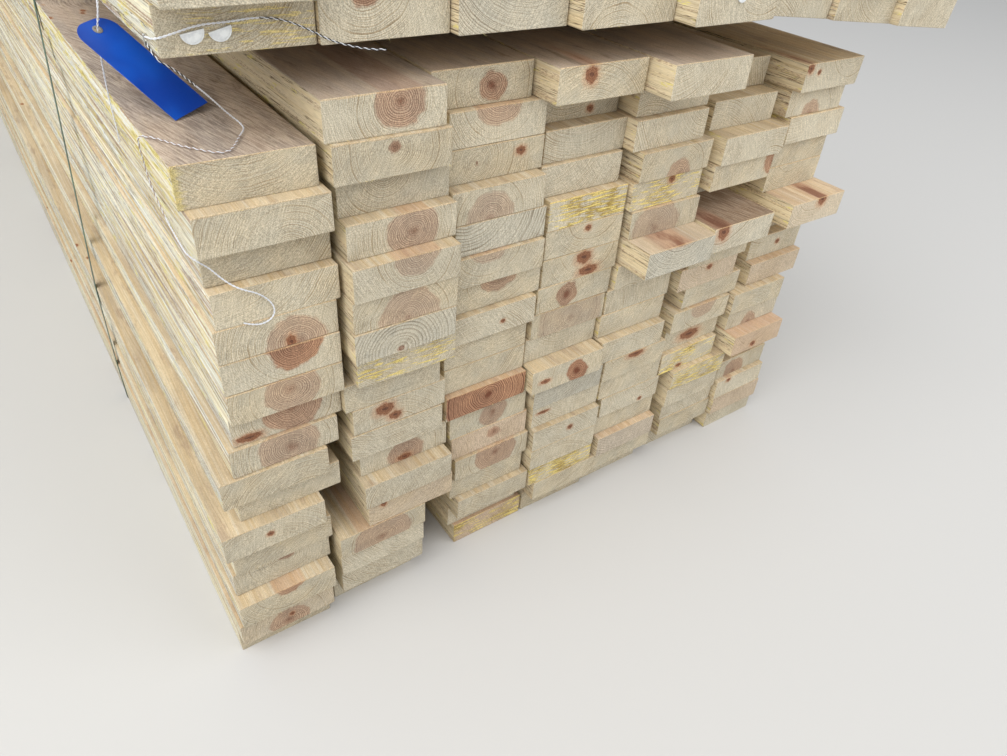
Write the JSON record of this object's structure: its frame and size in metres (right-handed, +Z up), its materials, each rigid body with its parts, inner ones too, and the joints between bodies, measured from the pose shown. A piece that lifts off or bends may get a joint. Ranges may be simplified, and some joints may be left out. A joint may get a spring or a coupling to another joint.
{
  "type": "stack of lumber",
  "caption": "Stack of sawn softwood boards: a strapped pack lying flat on the ground, with the start of a second pack on bearers on top of it.",
  "frame": {"origin": "on the ground, under the middle of the whole stack", "axes": "+Y along the boards, away from the end that is seen, +X to the right across them as seen from that end, +Z up"},
  "size_m": [1.2781, 3.755, 0.987],
  "materials": {
    "sawn_board": "rough-sawn, pale, greenish where treated",
    "strap": "dark green polyester strapping",
    "tag": "blue plastic sheet, blank",
    "steel": "plated",
    "clip": "white moulded plastic",
    "string": "white string",
    "twine": "black and white twisted twine"
  },
  "bodies": {
    "root": {"course_01": "sawn_board", "course_02": "sawn_board", "course_03": "sawn_board", "course_04": "sawn_board", "course_05": "sawn_board", "course_06": "sawn_board", "course_07": "sawn_board", "course_08": "sawn_board", "course_09": "sawn_board", "course_10": "sawn_board", "course_11": "sawn_board", "course_12": "sawn_board", "course_13": "sawn_board", "course_14": "sawn_board", "course_15": "sawn_board", "course_16": "sawn_board", "course_17": "sawn_board", "course_18": "sawn_board", "upper_course_1": "sawn_board", "upper_course_2": "sawn_board", "bearer_1": "sawn_board", "bearer_2": "sawn_board", "bearer_3": "sawn_board", "front_strap": "strap", "back_strap": "strap", "tag": "tag", "eyelet": "steel", "tag_staple": "steel", "twine_staple": "steel", "clip_1": "clip", "clip_2": "clip", "disc": "clip", "tag_string": "string", "tag_string_end": "string", "end_twine": "twine", "corner_twine": "twine"}
  },
  "joints": []
}
